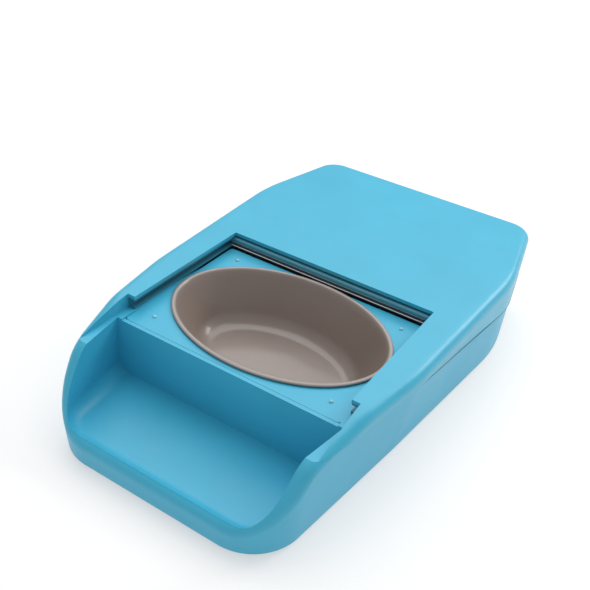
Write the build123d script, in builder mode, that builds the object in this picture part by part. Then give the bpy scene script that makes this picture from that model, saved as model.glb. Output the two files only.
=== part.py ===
"""A floor-standing pet feeder whose powered lid slides back under the rear deck.

The pet stands at the front (-Y), puts its head over the scoop and eats from the
oval bowl behind it. The lid, its motor and the batteries are under the deck at
the rear (+Y). Z = 0 is the floor, and the origin is under the middle of the feeder.
Places given as "from the tray" are measured along Y from the tray's front edge.
"""

from build123d import *
from math import atan, cos, pi, radians, sin, sqrt, tan
import os

os.makedirs("parts", exist_ok=True)

# ---------------------------------------------------------------- driving sizes
# Housing.
length = 378.0  # front lip to rear edge of the cover
foot_stand = 2.0  # how far the rubber feet lift the base off the floor
deck_height = 74.0  # flat top of the cover above the floor
rim_height = 61.0  # joint between base and cover at the front, above the base's bottom
floor_height = 15.8  # scoop floor above the base's bottom
lip_height = 18.5  # top of the front lip above the base's bottom
front_lean = 4.5  # the front leans out this much over the housing's height
rear_lean = 1.5
base_wall = 2.6  # moulded wall of the base
cover_wall = 2.6  # moulded wall of the cover's sides
deck_thickness = 2.8  # flat top of the cover
cover_overhang = 1.2  # the cover's skirt stands this far proud of the base
shoulder_radius = 7.0  # rolled top edge of the cover
bottom_radius = 2.0  # rounded lower edge of the base
joint_slope = 0.125  # fall of the cover's lower edge, per mm rearwards
joint_bend = 60.0  # the lower edge is level up to here, from the tray
roof_end = 72.0  # the base is roofed over up to here beside the bay, from the tray

# Scoop and bay.
scoop_reach = 74.0  # front lip to the face of the scoop's back wall
scoop_wall = 3.0  # the scoop's back wall
scoop_corner = 9.0  # rounding where the scoop's sides meet its floor
bay_half = 86.2  # half width of the tray's bay
bay_length = 123.7
bay_floor = 19.5  # bay floor above the base's bottom
bay_ledge = 2.5  # shelf all round that carries the tray
opening_width = 173.0  # opening in the cover above the bowl
opening_length = 117.5  # from the step in the rails to the rear edge
opening_step = 11.0  # step in the opening, from the tray
horn_gap_half = 92.7  # half the gap between the horns that run forward of the step

# Tray and bowl.
tray_height = 60.0  # tray's face above the base's bottom
tray_thickness = 2.4
pip_radius = 1.3  # moulded pips near the tray's corners
pip_places = [(-71.5, 14.0), (71.5, 14.0), (71.5, 111.0), (-71.5, 111.0)]
bowl_half_width = 84.4  # rim, outside
bowl_half_length = 60.2
bowl_rim_height = 2.2
bowl_rim_width = 3.4
bowl_depth = 38.0  # below the tray's face
bowl_wall = 2.0
bowl_base_half_width = 62.0
bowl_base_half_length = 40.0
bowl_foot_radius = 10.0

# Clearances.
slide_gap = 0.3  # around the sliding lid
drop_gap = 0.3  # around pieces that lift out
seat_gap = 0.1  # under pieces that rest on another
shaft_gap = 0.05  # around turning shafts, on the radius
screw_gap = 0.02  # around screws, on the radius

# Lid, rails and drive.
lid_travel = 121.5
lid_length = 134.0
lid_skin = 2.4
lid_edge_height = 4.3  # runners, front bar and rack
lid_bar = 4.0  # depth of the front bar
lid_runner = 4.0
wiper_reach = 3.0  # the wiper stands out this far in front of the lid
wiper_height = 1.0
wiper_root = 2.0
rail_inner = 86.8  # half width where the rails' flanges start
rail_slot_depth = 4.2
rail_wall = 1.4
rail_front = 1.5  # from the tray
rail_stop = 2.0  # closed rear end of each rail
rail_lug_places = [40.0, 98.0, 225.0]  # from the tray
rail_lug_reach = 7.0
gear_module = 1.0
pinion_teeth = 14
pressure_angle = 20.0
tooth_addendum = 0.8
tooth_dedendum = 1.2
tooth_backlash = 0.2
rack_back = 1.6  # strip behind the rack's teeth
pinion_place = 135.0  # from the tray
pinion_height = 4.0
shaft_radius = 1.5
bush_wall = 1.3
bush_flange = 1.0

# Mechanism under the rear deck.
chassis_thickness = 2.4
chassis_inset = 9.0  # in from the cover's outline
chassis_front = 127.0  # from the tray
chassis_rear = 270.0
chassis_leg_radius = 4.0
chassis_legs = [(-80.0, 142.0), (30.0, 142.0), (-88.0, 250.0), (88.0, 250.0)]
gearbox_width = 30.0
gearbox_depth = 30.0
gearbox_height = 30.0
gearbox_round = 3.0
motor_radius = 12.0
motor_length = 32.0
plate_lift = 0.5  # bottom plate above the base's lower edge
plate_thickness = 2.4
plate_gap = 0.3
cell_radius = 13.0
cell_length = 48.9
cell_gap = 0.3
cell_nub_radius = 3.2
cell_nub_length = 1.4
holder_wall = 2.0
holder_x = -12.0
holder_y = 190.0  # from the tray
contact_thickness = 0.5
contact_room = 2.0  # room for the contacts at each end of the cells
door_gap = 0.4
door_pin_radius = 0.75
door_pin_length = 1.8
board_thickness = 1.6
board_lift = 5.0
board_half_width = 44.0
board_half_length = 24.0
button_radius = 6.0
button_flange = 1.5
button_travel = 1.0
button_height = 52.0  # above the floor
button_spacing = 34.0
board_post_x = 29.0  # posts that carry the button board
button_board_depth = 14.0  # from the rear edge to the far face of the button board
lens_radius = 2.5
coil_width = 100.0
coil_length = 56.0
coil_band = 6.0
coil_height = 2.0
coil_place = -38.0  # from the tray
foot_radius = 8.0
foot_places = [(58.0, -52.0), (88.0, 262.0)]
foot_stem_radius = 2.5
cover_screw_places = [(101.5, 116.0), (108.5, 205.0), (95.0, 280.0)]
plate_screw_places = [(62.0, -12.0), (60.0, 60.0)]
boss_radius = 4.2
screw_radius = 1.5
screw_head_radius = 2.9
screw_head_height = 1.2
cover_screw_length = 22.0

# --------------------------------------------------------------- derived levels
base_z = foot_stand
deck_z = deck_height
deck_under_z = deck_z - deck_thickness
loft_z = deck_z + 1.0  # top of the lofted form before its side profile is cut
rim_z = base_z + rim_height
floor_z = base_z + floor_height
tray_z = base_z + tray_height
ledge_z = tray_z - tray_thickness - seat_gap
bay_floor_z = base_z + bay_floor
front_y = -length / 2
rear_y = length / 2
tray_y = front_y + scoop_reach + scoop_wall
step_y = tray_y + opening_step
opening_rear_y = step_y + opening_length
bay_rear_y = tray_y + bay_length
roof_end_y = tray_y + roof_end
bulkhead_y = bay_rear_y + base_wall
hollow_y = step_y + base_wall  # the cover is hollow behind this
plate_z = base_z + plate_lift
plate_top_z = plate_z + plate_thickness
skirt_inset = cover_overhang + base_wall

bowl_rim_z = tray_z + seat_gap + bowl_rim_height
bowl_y = (tray_y + bay_rear_y) / 2 + (scoop_wall - drop_gap) / 2
wiper_z = bowl_rim_z + slide_gap
lid_z = wiper_z + wiper_height / 2
lid_top_z = lid_z + lid_edge_height
lid_front_y = bay_rear_y + wiper_reach
lid_rear_y = lid_front_y + lid_length
lid_half = rail_inner + rail_slot_depth - slide_gap
rail_web_x = rail_inner + rail_slot_depth
rail_outer_x = rail_web_x + rail_wall
rail_low_z = lid_z - slide_gap - rail_wall
rail_top_z = lid_top_z + slide_gap + rail_wall
rail_front_y = tray_y + rail_front
rail_rear_y = lid_rear_y + slide_gap + rail_stop
tooth_pitch = pi * gear_module
pitch_radius = gear_module * pinion_teeth / 2
rack_pitch_x = lid_half - tooth_addendum
rack_root_x = rack_pitch_x - tooth_dedendum
rack_back_x = rack_root_x - rack_back
pinion_x = rack_pitch_x + pitch_radius
pinion_y = tray_y + pinion_place
bush_radius = shaft_radius + shaft_gap + bush_wall
chassis_z = rim_z - chassis_thickness
chassis_front_y = tray_y + chassis_front
chassis_rear_y = tray_y + chassis_rear
gearbox_z = chassis_z - gearbox_height
gearbox_x = pinion_x + bush_radius + 3.0 - gearbox_width / 2
gearbox_y = chassis_front_y + 1.0 + gearbox_depth / 2
motor_x = gearbox_x - gearbox_width / 2 - motor_length / 2
motor_z = gearbox_z + motor_radius
holder_mid_y = tray_y + holder_y
holder_half_x = cell_length + contact_room
holder_half_y = 2 * cell_radius + 1.5 * cell_gap
cell_z = plate_top_z + cell_gap + cell_radius
holder_roof_z = cell_z + cell_radius + cell_gap
holder_top_z = holder_roof_z + holder_wall
board_z = holder_top_z + board_lift
door_axis_y = holder_mid_y - holder_half_y + door_gap + plate_thickness / 2
door_axis_z = plate_z + plate_thickness / 2
button_wall_y = rear_y - rear_lean * (loft_z - button_height) / (loft_z - base_z) - cover_wall
button_board_y = rear_y - button_board_depth
switch_depth = 3.5
plunger_length = 1.0
stem_end_y = button_board_y + board_thickness + switch_depth + plunger_length + button_travel + seat_gap

# Half outlines of the base's bottom and of the cover's top: (x, y from the tray)
# and the radius that rounds each corner.
lip_share = (lip_height - shoulder_radius + cover_overhang) / (loft_z - base_z)
front_low = front_y - tray_y - cover_overhang + front_lean * lip_share
rear_edge = rear_y - tray_y
bottom_outline = [
    (87.0, front_low, 38.0),
    (102.0, 60.0, 200.0),
    (116.0, 212.0, 150.0),
    (98.0, rear_edge - rear_lean, 22.0),
]
top_outline = [
    (91.0, front_low - front_lean, 38.0),
    (112.0, 60.0, 200.0),
    (117.5, 212.0, 150.0),
    (99.5, rear_edge, 20.0),
]
# Half outline of the scoop, from its back wall to its front corner.
scoop_outline = [
    (90.0, -scoop_wall, 0.0),
    (79.5, front_y - tray_y + scoop_wall, 24.0),
]
# Side view of the top: (y from the tray, z above the base's bottom, radius).
top_profile = [
    (rear_edge + 60.0, deck_z - base_z, 0.0),
    (5.0, deck_z - base_z, 60.0),
    (-42.0, 60.5, 28.0),
    (-74.0, lip_height, 6.0),
    (front_low - 60.0, lip_height - 0.5, 0.0),
]
beyond = 150.0  # past the housing in any direction


# --------------------------------------------------------------------- helpers
def outline_face(half, inset):
    """Symmetric closed outline made from its right half and drawn in by inset."""
    right = [(x, y + tray_y) for x, y, r in half]
    left = [(-x, y) for x, y in reversed(right)]
    radii = [r for x, y, r in half]
    with BuildSketch() as sketch:
        with BuildLine():
            FilletPolyline(*right, *left, radius=radii + radii[::-1], close=True)
        make_face()
        if inset:
            offset(amount=-inset)
    return sketch.sketch


def side_face(lowered):
    """Area under the side view of the top, as a sketch in the YZ plane."""
    points = [(y + tray_y, z + base_z - lowered) for y, z, r in top_profile]
    radii = [r for y, z, r in top_profile]
    corners = [(points[-1][0], -beyond), (points[0][0], -beyond)]
    with BuildSketch() as sketch:
        with BuildLine():
            FilletPolyline(*points, *corners, radius=radii + [0.0, 0.0], close=True)
        make_face()
    return sketch.sketch


def joint_z(y):
    """Height of the joint between base and cover at y."""
    return rim_z - joint_slope * max(0.0, y - tray_y - joint_bend)


def joint_face(far_z):
    """Area between the joint and a far level above or below it, in the YZ plane."""
    ahead_y = front_y - beyond
    behind_y = rear_y + beyond
    with BuildSketch() as sketch:
        with BuildLine():
            Polyline(
                (ahead_y, rim_z),
                (tray_y + joint_bend, rim_z),
                (behind_y, joint_z(behind_y)),
                (behind_y, far_z),
                (ahead_y, far_z),
                close=True,
            )
        make_face()
    return sketch.sketch


def is_top_edge(edge):
    """True for the edges that run round the top of the outer form."""
    box = edge.bounding_box()
    along_x = box.size.Y < 0.01
    at_end = edge.center().Y > rear_y - 8.0 or edge.center().Y < front_y + 8.0
    return box.min.Z > base_z + lip_height - 6.0 and (not along_x or at_end)


def envelope(inset, lowered, rounding):
    """The feeder's whole outer form, drawn in and lowered, with its top edge rolled."""
    with BuildPart() as form:
        with BuildSketch(Plane.XY.offset(base_z)):
            add(outline_face(bottom_outline, inset))
        with BuildSketch(Plane.XY.offset(loft_z)):
            add(outline_face(top_outline, inset))
        loft(ruled=True)
        with BuildSketch(Plane.YZ):
            add(side_face(lowered))
        extrude(amount=beyond, both=True, mode=Mode.INTERSECT)
        if rounding:
            fillet([edge for edge in form.edges() if is_top_edge(edge)], radius=rounding)
    return form.part


def box_between(x0, x1, y0, y1, z0, z1, mode=Mode.ADD):
    """Box between two corners."""
    with Locations(((x0 + x1) / 2, (y0 + y1) / 2, (z0 + z1) / 2)):
        Box(x1 - x0, y1 - y0, z1 - z0, mode=mode)


def upright(x, y, z0, z1, radius, mode=Mode.ADD):
    """Round bar that stands on z0 and ends at z1."""
    with Locations((x, y, (z0 + z1) / 2)):
        Cylinder(radius, z1 - z0, mode=mode)


def along_y(x, z, y0, y1, radius, mode=Mode.ADD):
    """Round bar that runs along Y."""
    with Locations((x, (y0 + y1) / 2, z)):
        Cylinder(radius, y1 - y0, rotation=(90, 0, 0), mode=mode)


def along_x(y, z, x0, x1, radius, mode=Mode.ADD):
    """Round bar that runs along X."""
    with Locations(((x0 + x1) / 2, y, z)):
        Cylinder(radius, x1 - x0, rotation=(0, 90, 0), mode=mode)


def pair(places):
    """Each place and its mirror image, with y turned into the feeder's own axis."""
    return [(side * x, y + tray_y) for x, y in places for side in (-1, 1)]


def screw_up(x, y, z0, z1):
    """Screw that points up, with its head's lower face at z0 and its tip at z1."""
    upright(x, y, z0, z0 + screw_head_height, screw_head_radius)
    upright(x, y, z0 + screw_head_height, z1, screw_radius)


def finish(piece, name):
    """Label a piece and write it to its own file."""
    piece.part.label = name
    export_step(piece.part, f"parts/{name}.step")


# ------------------------------------------------------------------ base shell
scoop_space = BuildPart()
with scoop_space:
    with BuildSketch(Plane.XY.offset(floor_z)):
        add(outline_face(scoop_outline, 0.0))
    extrude(amount=deck_z)
    foot_edges = scoop_space.edges().filter_by(lambda e: e.bounding_box().max.Z < floor_z + 0.1)
    sides = [e for e in foot_edges if e.center().Y < tray_y - scoop_wall - 1.0]
    fillet(sides, radius=scoop_corner)

with BuildPart() as base_space:
    add(envelope(skirt_inset, base_wall, 0.0))
    box_between(-beyond, beyond, front_y - 9, roof_end_y, rim_z - base_wall, deck_z + 9, Mode.SUBTRACT)
    with BuildSketch(Plane.XY.offset(floor_z - base_wall)):
        add(outline_face(scoop_outline, 0.0))
        offset(amount=base_wall)
    extrude(amount=deck_z, mode=Mode.SUBTRACT)
    bay_out = bay_half + base_wall
    box_between(
        -bay_out, bay_out, tray_y - scoop_wall, bulkhead_y,
        bay_floor_z - base_wall, rim_z, Mode.SUBTRACT,
    )

with BuildPart() as base_posts:
    for x, y in pair(cover_screw_places):
        upright(x, y, plate_top_z, rim_z, boss_radius)
    for x, y in pair(plate_screw_places):
        under_scoop = y < tray_y - scoop_wall
        top_z = floor_z - base_wall / 2 if under_scoop else bay_floor_z - base_wall / 2
        upright(x, y, plate_top_z, top_z, boss_radius)
    add(envelope(cover_overhang + 0.5, 0.5, 0.0), mode=Mode.INTERSECT)

with BuildPart() as base_shell:
    add(envelope(cover_overhang, 0.0, shoulder_radius - cover_overhang))
    lower_edges = base_shell.edges().filter_by(lambda e: e.bounding_box().max.Z < base_z + 0.1)
    fillet(lower_edges, radius=bottom_radius)
    add(base_space.part, mode=Mode.SUBTRACT)
    add(base_posts.part)
    with BuildSketch(Plane.YZ):
        add(joint_face(deck_z + beyond))
    extrude(amount=beyond, both=True, mode=Mode.SUBTRACT)
    add(scoop_space.part, mode=Mode.SUBTRACT)
    box_between(-bay_half, bay_half, tray_y, bay_rear_y, ledge_z, deck_z, Mode.SUBTRACT)
    box_between(-bay_half, bay_half, tray_y - 2 * scoop_wall, bay_rear_y, tray_z, deck_z, Mode.SUBTRACT)
    box_between(
        -bay_half + bay_ledge, bay_half - bay_ledge, tray_y + bay_ledge, bay_rear_y - bay_ledge,
        bay_floor_z, deck_z, Mode.SUBTRACT,
    )
    for x, y in pair(cover_screw_places):
        top_z = joint_z(y)
        upright(x, y, plate_top_z, top_z + 1, screw_radius + screw_gap, Mode.SUBTRACT)
        head_z = top_z - cover_screw_length / 2
        upright(x, y, plate_top_z - 1, head_z, screw_head_radius + screw_gap, Mode.SUBTRACT)
    for x, y in pair(plate_screw_places):
        upright(x, y, 0, plate_top_z + 8.0, screw_radius + screw_gap, Mode.SUBTRACT)
finish(base_shell, "base_shell")

# ------------------------------------------------------------------- top cover
with BuildPart() as cover_space:
    add(envelope(cover_wall, deck_thickness, shoulder_radius - cover_wall))
    box_between(-beyond, beyond, front_y - 9, hollow_y, 0, deck_z + 9, Mode.SUBTRACT)

with BuildPart() as cover_posts:
    for x, y in pair(cover_screw_places):
        upright(x, y, base_z, deck_z, boss_radius)
    for x in (-board_post_x, board_post_x):
        along_y(x, button_height, button_board_y + board_thickness, rear_y, boss_radius - 1.0)
    add(envelope(cover_wall / 2, deck_thickness / 2, 0.0), mode=Mode.INTERSECT)

with BuildPart() as top_cover:
    add(envelope(0.0, 0.0, shoulder_radius))
    add(cover_space.part, mode=Mode.SUBTRACT)
    add(cover_posts.part)
    with BuildSketch(Plane.YZ):
        add(joint_face(-beyond))
    extrude(amount=beyond, both=True, mode=Mode.SUBTRACT)
    box_between(-horn_gap_half, horn_gap_half, front_y - 9, step_y, 0, deck_z + 9, Mode.SUBTRACT)
    box_between(-horn_gap_half, horn_gap_half, step_y, hollow_y + 1, 0, deck_under_z, Mode.SUBTRACT)
    half_opening = opening_width / 2
    box_between(-half_opening, half_opening, step_y - 1, opening_rear_y, 0, deck_z + 9, Mode.SUBTRACT)
    for x, y in pair(cover_screw_places):
        tip_z = joint_z(y) + cover_screw_length / 2
        upright(x, y, 0, min(tip_z, deck_under_z), screw_radius + screw_gap, Mode.SUBTRACT)
    for x, y in pair([(rail_outer_x + rail_lug_reach / 2, place) for place in rail_lug_places]):
        upright(x, y, deck_under_z - 1, deck_z - deck_thickness / 2, screw_radius + screw_gap, Mode.SUBTRACT)
    for x in (-button_spacing / 2, button_spacing / 2):
        along_y(x, button_height, button_wall_y - 3, rear_y + 9, button_radius + seat_gap, Mode.SUBTRACT)
    along_y(0, button_height, button_wall_y - 3, rear_y + 9, lens_radius + screw_gap, Mode.SUBTRACT)
    for x in (-board_post_x, board_post_x):
        along_y(
            x, button_height, button_board_y, button_wall_y - 1,
            screw_radius + screw_gap, Mode.SUBTRACT,
        )
finish(top_cover, "top_cover")

# ------------------------------------------------- bottom plate, feet and screws
with BuildPart() as bottom_plate:
    with BuildSketch(Plane.XY.offset(plate_z)):
        add(outline_face(bottom_outline, skirt_inset + plate_gap))
    extrude(amount=plate_thickness)
    box_between(
        holder_x - holder_half_x - holder_wall, holder_x + holder_half_x + holder_wall,
        holder_mid_y - holder_half_y - holder_wall, holder_mid_y + holder_half_y + holder_wall,
        plate_z, holder_top_z,
    )
    for x in (holder_x - board_half_width + 4, holder_x + board_half_width - 4):
        for y in (holder_mid_y - board_half_length + 4, holder_mid_y + board_half_length - 4):
            upright(x, y, holder_roof_z, board_z, boss_radius - 1)
            upright(x, y, holder_top_z - 1, board_z, screw_radius + screw_gap, Mode.SUBTRACT)
    box_between(
        holder_x - holder_half_x, holder_x + holder_half_x,
        holder_mid_y - holder_half_y, holder_mid_y + holder_half_y,
        plate_z - 1, holder_roof_z, Mode.SUBTRACT,
    )
    door_half_x = holder_half_x - door_gap
    along_x(
        door_axis_y, door_axis_z, holder_x - door_half_x - door_pin_length - door_gap,
        holder_x + door_half_x + door_pin_length + door_gap, door_pin_radius + shaft_gap, Mode.SUBTRACT,
    )
    for x, y in pair(foot_places):
        upright(x, y, 0, plate_top_z + 1, foot_stem_radius + shaft_gap, Mode.SUBTRACT)
    for x, y in pair(plate_screw_places) + [(x, y + tray_y) for x, y in chassis_legs]:
        upright(x, y, 0, plate_top_z + 1, screw_radius + screw_gap, Mode.SUBTRACT)
        upright(x, y, 0, plate_z + screw_head_height, screw_head_radius + screw_gap, Mode.SUBTRACT)
finish(bottom_plate, "bottom_plate")

with BuildPart() as rubber_feet:
    for x, y in pair(foot_places):
        with BuildSketch(Plane.XY):
            with Locations((x, y)):
                Circle(foot_radius)
        extrude(amount=plate_z)
        upright(x, y, 0.5, plate_top_z, foot_stem_radius)
    rims = rubber_feet.edges().filter_by(GeomType.CIRCLE).group_by(Axis.Z)[0]
    chamfer(rims, length=0.6)
finish(rubber_feet, "rubber_feet")

with BuildPart() as plate_screws:
    for x, y in pair(plate_screw_places) + [(x, y + tray_y) for x, y in chassis_legs]:
        screw_up(x, y, plate_z, plate_top_z + 7.5)
finish(plate_screws, "plate_screws")

with BuildPart() as cover_screws:
    for x, y in pair(cover_screw_places):
        head_z = joint_z(y) - cover_screw_length / 2 - screw_head_height
        screw_up(x, y, head_z, min(joint_z(y) + cover_screw_length / 2, deck_under_z) - 0.2)
finish(cover_screws, "cover_screws")

# ---------------------------------------------------------------- tray and bowl
body_half_width = bowl_half_width - bowl_rim_width
body_half_length = bowl_half_length - bowl_rim_width
bowl_foot_z = tray_z - bowl_depth

with BuildPart() as bowl:
    with BuildSketch(Plane.XY.offset(bowl_rim_z)):
        with Locations((0, bowl_y)):
            Ellipse(body_half_width, body_half_length)
    with BuildSketch(Plane.XY.offset(bowl_foot_z)):
        with Locations((0, bowl_y)):
            Ellipse(bowl_base_half_width, bowl_base_half_length)
    loft()
    fillet(bowl.edges().sort_by(Axis.Z)[0], radius=bowl_foot_radius)
    with BuildSketch(Plane.XY.offset(bowl_rim_z - bowl_rim_height)):
        with Locations((0, bowl_y)):
            Ellipse(bowl_half_width, bowl_half_length)
    extrude(amount=bowl_rim_height)
    outer_rim = bowl.edges().group_by(Axis.Z)[-1]
    fillet(outer_rim, radius=bowl_rim_height * 0.45)

with BuildPart() as bowl_space:
    with BuildSketch(Plane.XY.offset(bowl_rim_z + 0.5)):
        with Locations((0, bowl_y)):
            Ellipse(body_half_width - bowl_wall, body_half_length - bowl_wall)
    with BuildSketch(Plane.XY.offset(bowl_foot_z + bowl_wall)):
        with Locations((0, bowl_y)):
            Ellipse(bowl_base_half_width - bowl_wall, bowl_base_half_length - bowl_wall)
    loft()
    fillet(bowl_space.edges().sort_by(Axis.Z)[0], radius=bowl_foot_radius - bowl_wall)

with bowl:
    add(bowl_space.part, mode=Mode.SUBTRACT)
finish(bowl, "bowl")

tray_half = bay_half - drop_gap / 2
tray_front_y = tray_y + drop_gap
tray_rear_y = bay_rear_y - drop_gap
with BuildPart() as bowl_tray:
    with BuildSketch(Plane.XY.offset(ledge_z + seat_gap)):
        with Locations((0, (tray_front_y + tray_rear_y) / 2)):
            RectangleRounded(2 * tray_half, tray_rear_y - tray_front_y, 3.0)
        with Locations((0, bowl_y)):
            Ellipse(body_half_width + drop_gap, body_half_length + drop_gap, mode=Mode.SUBTRACT)
    extrude(amount=tray_thickness)
    for x, place in pip_places:
        with Locations((x, tray_y + place, tray_z)):
            Sphere(pip_radius)
finish(bowl_tray, "bowl_tray")

# ---------------------------------------------------------- lid, seal and rails
with BuildPart() as sliding_lid:
    box_between(-lid_half, rack_back_x, lid_front_y, lid_rear_y, lid_top_z - lid_skin, lid_top_z)
    box_between(-lid_half, -lid_half + lid_runner, lid_front_y, lid_rear_y, lid_z, lid_top_z)
    box_between(rack_back_x - lid_runner, rack_back_x, lid_front_y, lid_rear_y, lid_z, lid_top_z)
    for y in (lid_front_y, lid_rear_y - lid_bar):
        box_between(-lid_half, rack_back_x, y, y + lid_bar, lid_z, lid_top_z)
    front_edges = sliding_lid.edges().filter_by(Axis.X).group_by(Axis.Y)[0]
    fillet(front_edges.sort_by(Axis.Z)[-1], radius=1.5)
    for share in (0.25, 0.5, 0.75):
        y = lid_front_y + lid_length * share
        box_between(-lid_half, rack_back_x, y, y + 1.5, lid_z + 0.5, lid_top_z)
finish(sliding_lid, "sliding_lid")

seal_half = rail_inner - drop_gap
with BuildPart() as lid_wiper_seal:
    box_between(-seal_half, seal_half, lid_front_y - wiper_reach + drop_gap, lid_front_y, wiper_z, wiper_z + wiper_height)
    box_between(-seal_half, seal_half, lid_front_y - wiper_reach / 2, lid_front_y + wiper_root, wiper_z, lid_z)
finish(lid_wiper_seal, "lid_wiper_seal")

with BuildPart() as lid_rack:
    with BuildSketch(Plane.XY.offset(lid_z)):
        half_tip = tooth_pitch / 4 - tooth_backlash / 4 - tooth_addendum * tan(radians(pressure_angle))
        half_root = tooth_pitch / 4 - tooth_backlash / 4 + tooth_dedendum * tan(radians(pressure_angle))
        first = -int((pinion_y - lid_front_y) / tooth_pitch)
        last = int((lid_rear_y - pinion_y) / tooth_pitch)
        profile = [(rack_back_x, lid_front_y), (rack_root_x, lid_front_y)]
        for number in range(first, last):
            middle = pinion_y + (number + 0.5) * tooth_pitch
            profile += [
                (rack_root_x, middle - half_root),
                (rack_pitch_x + tooth_addendum, middle - half_tip),
                (rack_pitch_x + tooth_addendum, middle + half_tip),
                (rack_root_x, middle + half_root),
            ]
        profile += [(rack_root_x, lid_rear_y), (rack_back_x, lid_rear_y)]
        with BuildLine():
            Polyline(*profile, close=True)
        make_face()
    extrude(amount=lid_edge_height)
finish(lid_rack, "lid_rack")

for side, name in ((-1, "guide_rail_left"), (1, "guide_rail_right")):
    with BuildPart() as guide_rail:
        inner, web, outer = (side * x for x in (rail_inner, rail_web_x, rail_outer_x))
        low, high = min(inner, outer), max(inner, outer)
        box_between(low, high, rail_front_y, rail_rear_y, rail_low_z, rail_top_z)
        slot_low, slot_high = min(side * (rail_inner - 1), web), max(side * (rail_inner - 1), web)
        box_between(
            slot_low, slot_high, rail_front_y - 1, rail_rear_y - rail_stop,
            rail_low_z + rail_wall, rail_top_z - rail_wall, Mode.SUBTRACT,
        )
        for place in rail_lug_places:
            y = tray_y + place
            tip = outer + side * rail_lug_reach
            box_between(
                min(outer, tip), max(outer, tip), y - 5, y + 5, rail_top_z - rail_wall, rail_top_z,
            )
            middle = outer + side * rail_lug_reach / 2
            upright(middle, y, rail_low_z, rail_top_z + 1, screw_radius + screw_gap, Mode.SUBTRACT)
        if side > 0:
            window = pitch_radius + tooth_addendum + 1.0
            box_between(
                rail_web_x - 0.5, rail_outer_x + 1, pinion_y - window, pinion_y + window,
                rail_low_z + rail_wall, rail_top_z - rail_wall, Mode.SUBTRACT,
            )
    finish(guide_rail, name)

with BuildPart() as rail_screws:
    for x, y in pair([(rail_outer_x + rail_lug_reach / 2, place) for place in rail_lug_places]):
        upright(x, y, rail_top_z - rail_wall - screw_head_height, rail_top_z - rail_wall, screw_head_radius)
        upright(x, y, rail_top_z - rail_wall, deck_z - deck_thickness / 2 - 0.2, screw_radius)
finish(rail_screws, "rail_screws")

# ------------------------------------------------------------ pinion and gearbox
def involute(angle):
    """Involute function of a pressure angle in radians."""
    return tan(angle) - angle


def polar(radius, angle):
    """Point of the pinion at a radius and an angle from -X, in the feeder's axes."""
    return (pinion_x - radius * cos(angle), pinion_y - radius * sin(angle))


with BuildPart() as drive_pinion:
    with BuildSketch(Plane.XY.offset(lid_z)):
        base_radius = pitch_radius * cos(radians(pressure_angle))
        tip_radius = pitch_radius + tooth_addendum
        root_radius = pitch_radius - tooth_dedendum
        half_pitch = (tooth_pitch / 2 - tooth_backlash / 2) / 2 / pitch_radius
        flank = []
        for step in range(4):
            radius = base_radius + (tip_radius - base_radius) * step / 3
            share = min(1.0, base_radius / radius)
            slant = atan(sqrt(1 - share * share) / share)
            flank.append((radius, half_pitch + involute(radians(pressure_angle)) - involute(slant)))
        flank.insert(0, (root_radius, flank[0][1]))
        outline = []
        for tooth in range(pinion_teeth):
            middle = 2 * pi * tooth / pinion_teeth
            outline += [polar(radius, middle - half) for radius, half in flank]
            outline += [polar(radius, middle + half) for radius, half in reversed(flank)]
        with BuildLine():
            Polyline(*outline, close=True)
        make_face()
        with Locations((pinion_x, pinion_y)):
            Circle(shaft_radius, mode=Mode.SUBTRACT)
    extrude(amount=pinion_height)
finish(drive_pinion, "drive_pinion")

shaft_foot_z = chassis_z - 10.0
with BuildPart() as output_shaft:
    upright(pinion_x, pinion_y, shaft_foot_z + seat_gap, lid_z + pinion_height + 0.6, shaft_radius)
finish(output_shaft, "output_shaft")

with BuildPart() as shaft_bush:
    upright(pinion_x, pinion_y, chassis_z, rim_z + bush_flange, bush_radius)
    upright(pinion_x, pinion_y, rim_z, rim_z + bush_flange, bush_radius + 1.2)
    upright(pinion_x, pinion_y, chassis_z - 1, rim_z + 5, shaft_radius + shaft_gap, Mode.SUBTRACT)
finish(shaft_bush, "shaft_bush")

with BuildPart() as gearbox:
    with Locations((gearbox_x, gearbox_y, gearbox_z + gearbox_height / 2)):
        Box(gearbox_width, gearbox_depth, gearbox_height)
    fillet(gearbox.edges().filter_by(Axis.Z), radius=gearbox_round)
    upright(pinion_x, pinion_y, shaft_foot_z, chassis_z + 1, shaft_radius + shaft_gap, Mode.SUBTRACT)
finish(gearbox, "gearbox")

with BuildPart() as drive_motor:
    along_x(gearbox_y, motor_z, motor_x - motor_length / 2, motor_x + motor_length / 2, motor_radius)
    chamfer(drive_motor.edges().filter_by(GeomType.CIRCLE), length=1.0)
    along_x(gearbox_y, motor_z, motor_x - motor_length / 2 - 2.5, motor_x, motor_radius * 0.35)
finish(drive_motor, "drive_motor")

with BuildPart() as mechanism_chassis:
    with BuildSketch(Plane.XY.offset(chassis_z)):
        add(outline_face(top_outline, chassis_inset))
        with Locations((0, (chassis_front_y + chassis_rear_y) / 2)):
            Rectangle(2 * beyond, chassis_rear_y - chassis_front_y, mode=Mode.INTERSECT)
        for x, y in pair(cover_screw_places):
            with Locations((x, y)):
                Circle(boss_radius + 1.0, mode=Mode.SUBTRACT)
    extrude(amount=chassis_thickness)
    for x, place in chassis_legs:
        upright(x, tray_y + place, plate_top_z, rim_z, chassis_leg_radius)
        upright(x, tray_y + place, 0, plate_top_z + 8.0, screw_radius + screw_gap, Mode.SUBTRACT)
    upright(pinion_x, pinion_y, chassis_z - 1, rim_z + 1, bush_radius + screw_gap, Mode.SUBTRACT)
    for x in (gearbox_x - 9, gearbox_x + 9):
        upright(x, gearbox_y + 10, chassis_z - 1, rim_z + 1, screw_radius + screw_gap, Mode.SUBTRACT)
finish(mechanism_chassis, "mechanism_chassis")

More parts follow.
